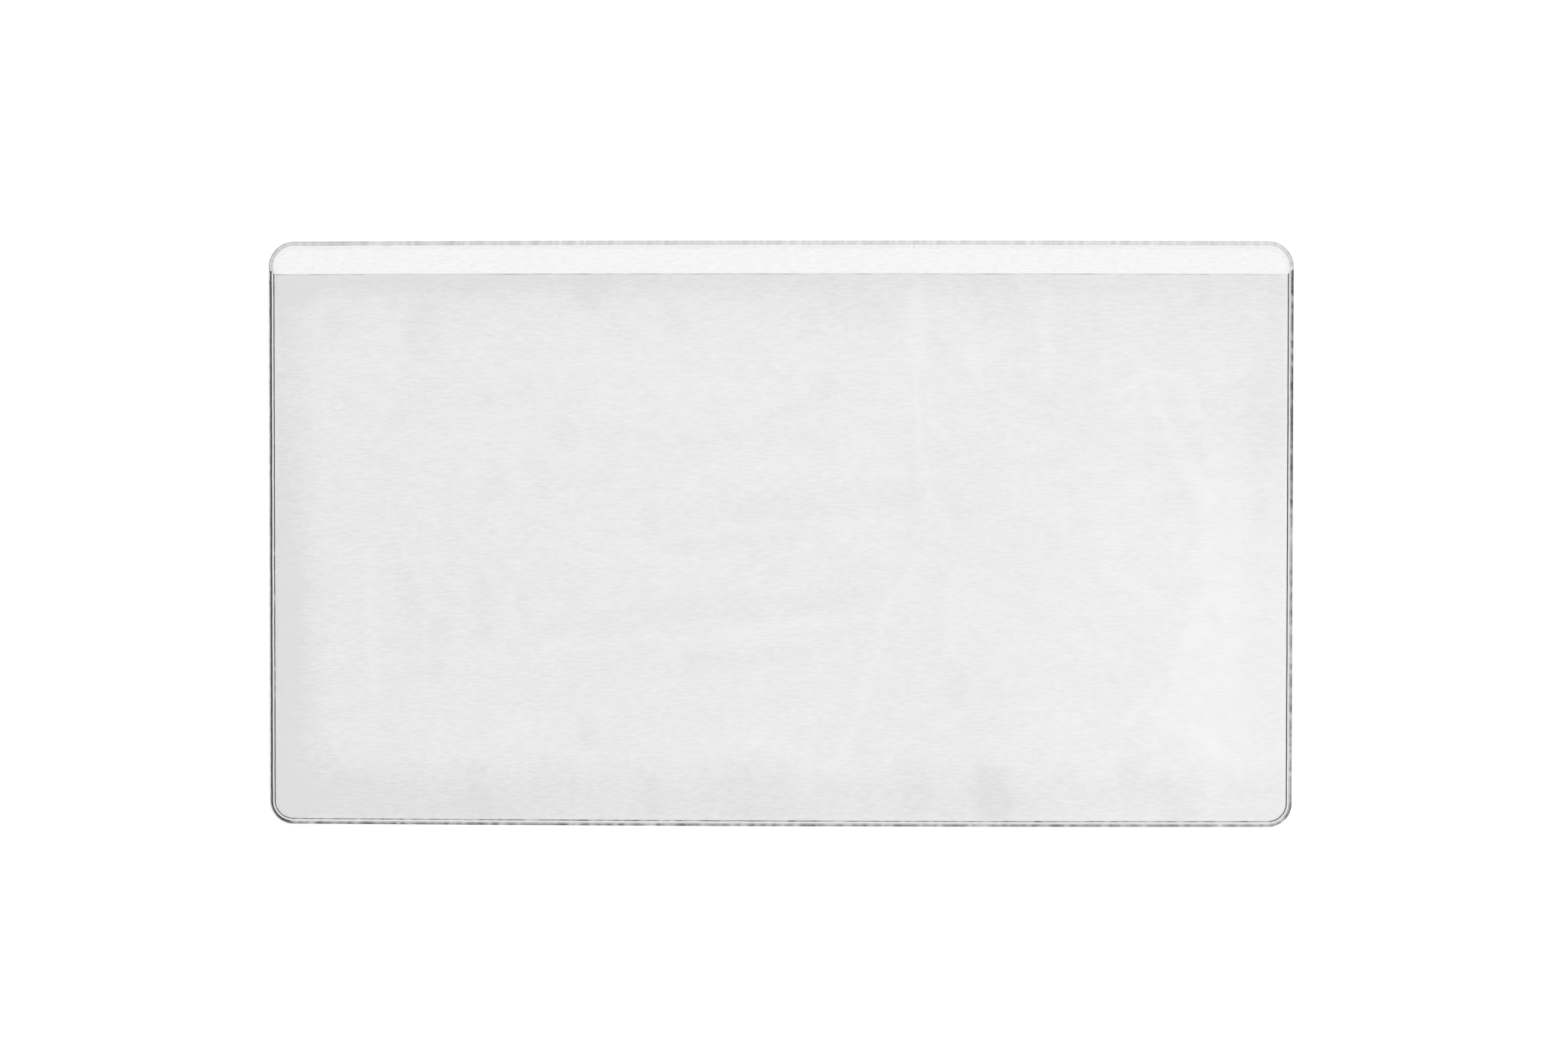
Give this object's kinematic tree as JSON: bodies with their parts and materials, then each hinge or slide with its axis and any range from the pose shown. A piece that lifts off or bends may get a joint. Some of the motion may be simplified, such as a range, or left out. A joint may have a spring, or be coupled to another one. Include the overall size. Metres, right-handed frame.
{
  "type": "self-adhesive pocket",
  "caption": "Clear welded film pocket, open along one long side, with an adhesive back under a split peel-off liner.",
  "frame": {"origin": "centre of the liner's underside, on the surface that the pocket lies on", "axes": "+X to the right along the mouth as the pocket is seen from the front, +Y from the bottom weld towards the mouth and lip, +Z out of the front film"},
  "size_m": [0.105, 0.06, 0.0007],
  "materials": {
    "clear_front_film": "clear plastic film, glossy, with a faint grain",
    "clear_back_film": "clear plastic film, glossy",
    "welded_edge": "fused clear plastic with a pressed bead and ridge",
    "adhesive": "clear pressure-sensitive adhesive, satin",
    "release_liner": "smooth coated white paper, matte"
  },
  "bodies": {
    "pocket": {"back_film": "clear_back_film", "weld_seam": "welded_edge", "adhesive_coat": "adhesive"},
    "front": {"front_film": "clear_front_film"},
    "liner_left_half": {"liner_left": "release_liner"},
    "liner_right_half": {"liner_right": "release_liner"}
  },
  "joints": [
    {"name": "mouth_open", "type": "hinge", "parent": "pocket", "child": "front", "pos_m": [0, -0.02922, 0.00044], "axis": [1, 0, 0], "range_deg": [0, 6], "stiffness_Nm_per_rad": 0.02},
    {"name": "liner_left_peel", "type": "hinge", "parent": "pocket", "child": "liner_left_half", "pos_m": [-0.05255, 0, 0.00012], "axis": [0, 1, 0], "range_deg": [0, 180]},
    {"name": "liner_right_peel", "type": "hinge", "parent": "pocket", "child": "liner_right_half", "pos_m": [0.05255, 0, 0.00012], "axis": [0, -1, 0], "range_deg": [0, 180]}
  ]
}
